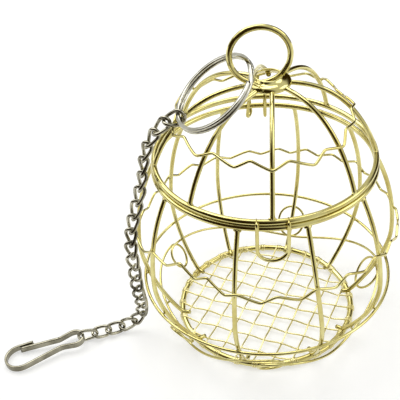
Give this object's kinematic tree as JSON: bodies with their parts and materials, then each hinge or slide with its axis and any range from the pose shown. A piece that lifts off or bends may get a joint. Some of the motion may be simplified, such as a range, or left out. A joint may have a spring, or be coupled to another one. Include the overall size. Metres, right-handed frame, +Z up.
{
  "type": "pet_foraging_basket",
  "caption": "Egg-shaped gold wire bird foraging basket: ribbed bowl, hinged domed lid with front clasp, hanging ring, split ring, chain and snap clip",
  "frame": {"origin": "centre of the floor ring, on the surface the basket stands on", "axes": "+Z up along the egg's axis, -Y to the front where the clasp hangs, +Y to the hinge, chain and clip towards -X"},
  "size_m": [0.154, 0.1016, 0.1241],
  "materials": {
    "gold": "polished",
    "nickel": "polished"
  },
  "bodies": {
    "bowl": {"bowl_rim": "gold", "bowl_rib_01": "gold", "bowl_rib_02": "gold", "bowl_rib_03": "gold", "bowl_rib_04": "gold", "bowl_rib_05": "gold", "bowl_rib_06": "gold", "bowl_rib_07": "gold", "bowl_rib_08": "gold", "bowl_rib_09": "gold", "bowl_rib_10": "gold", "belly_ring": "gold", "bowl_wave_wire": "gold", "scroll_wire": "gold", "floor_ring": "gold", "floor_mesh": "gold", "hinge_loop_left": "gold", "hinge_loop_right": "gold"},
    "lid": {"lid_rim": "gold", "lid_rib_1": "gold", "lid_rib_2": "gold", "lid_rib_3": "gold", "lid_rib_4": "gold", "lid_rib_5": "gold", "lid_rib_6": "gold", "lid_rib_7": "gold", "lid_rib_8": "gold", "lid_wave_wire": "gold", "hub_washer": "gold"},
    "front_clasp": {"front_clasp": "gold"},
    "hanging_ring": {"hanging_ring": "gold"},
    "split_ring": {"split_ring": "nickel"},
    "chain_upper": {"chain_link_01": "nickel", "chain_link_02": "nickel", "chain_link_03": "nickel", "chain_link_04": "nickel", "chain_link_05": "nickel", "chain_link_06": "nickel", "chain_link_07": "nickel"},
    "chain_lower": {"chain_link_08": "nickel", "chain_link_09": "nickel", "chain_link_10": "nickel", "chain_link_11": "nickel", "chain_link_12": "nickel", "chain_link_13": "nickel", "chain_link_14": "nickel", "chain_link_15": "nickel", "chain_link_16": "nickel", "chain_link_17": "nickel", "chain_link_18": "nickel", "chain_link_19": "nickel", "chain_link_20": "nickel"},
    "chain_floor": {"chain_link_21": "nickel", "chain_link_22": "nickel"},
    "clip": {"clip_body": "nickel"},
    "clip_gate": {"clip_gate": "nickel"}
  },
  "joints": [
    {"name": "lid_hinge", "type": "hinge", "parent": "bowl", "child": "lid", "pos_m": [-0.0025, 0.03977, 0.07619], "axis": [-0.998, -0.0628, 0], "range_deg": [0, 120]},
    {"name": "clasp_hinge", "type": "hinge", "parent": "lid", "child": "front_clasp", "pos_m": [0.00248, -0.03941, 0.07411], "axis": [-0.998, -0.0628, 0], "range_deg": [0, 80]},
    {"name": "hanging_ring_tilt", "type": "hinge", "parent": "lid", "child": "hanging_ring", "pos_m": [-0.0009, 0.00032, 0.10325], "axis": [-0.998, -0.0628, 0], "range_deg": [0, 15]},
    {"name": "split_ring_slide", "type": "hinge", "parent": "hanging_ring", "child": "split_ring", "pos_m": [-0.00088, 0.00006, 0.1133], "axis": [-0.0628, 0.9977, 0.0262], "range_deg": [0, 90]},
    {"name": "chain_top_swing", "type": "hinge", "parent": "split_ring", "child": "chain_upper", "pos_m": [-0.02829, -0.00856, 0.09552], "axis": [-0.1121, 0.9778, 0.1768], "range_deg": [0, 60]},
    {"name": "chain_middle_swing", "type": "hinge", "parent": "chain_upper", "child": "chain_lower", "pos_m": [-0.04638, -0.01345, 0.06358], "axis": [-0.2647, 0.9592, -0.0993], "range_deg": [0, 40]},
    {"name": "chain_end_lift", "type": "hinge", "parent": "chain_lower", "child": "chain_floor", "pos_m": [-0.06488, -0.01819, 0.00239], "axis": [-0.3578, 0.9334, 0.028], "range_deg": [0, 30]},
    {"name": "clip_swivel", "type": "hinge", "parent": "chain_floor", "child": "clip", "pos_m": [-0.07548, -0.02204, 0.00326], "axis": [0, 0, 1], "range_deg": [-60, 60]},
    {"name": "clip_gate_flex", "type": "hinge", "parent": "clip", "child": "clip_gate", "pos_m": [-0.08372, -0.02353, 0.00245], "axis": [-0.0595, -0.0267, 0.9979], "range_deg": [0, 18], "stiffness_Nm_per_rad": 0.02}
  ]
}
